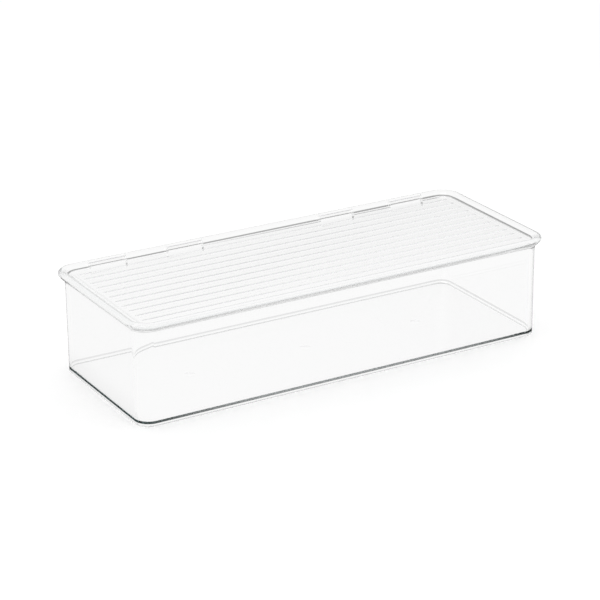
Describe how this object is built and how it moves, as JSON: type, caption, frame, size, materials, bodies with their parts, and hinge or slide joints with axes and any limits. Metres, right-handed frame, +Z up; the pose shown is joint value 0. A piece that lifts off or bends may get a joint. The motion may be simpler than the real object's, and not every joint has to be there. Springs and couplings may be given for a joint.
{
  "type": "lidded storage bin",
  "caption": "Long, low, clear plastic storage bin with rounded corners, a rolled rim and a finely ribbed clear lid that hinges along the rear of the rim.",
  "frame": {"origin": "centre of the underside, on the surface that the bin stands on", "axes": "+X along the length, to the right seen from the front; +Y from front to rear, where the hinge is; +Z up"},
  "size_m": [0.34, 0.1354, 0.0774],
  "materials": {
    "clear_plastic": "clear, polished, faint green-grey at the edges"
  },
  "bodies": {
    "bin": {"bin_body": "clear_plastic"},
    "lid": {"hinged_lid": "clear_plastic"}
  },
  "joints": [
    {"name": "lid_hinge", "type": "hinge", "parent": "bin", "child": "lid", "pos_m": [0, 0.06375, 0.0742], "axis": [-1, 0, 0], "range_deg": [0, 115]}
  ]
}
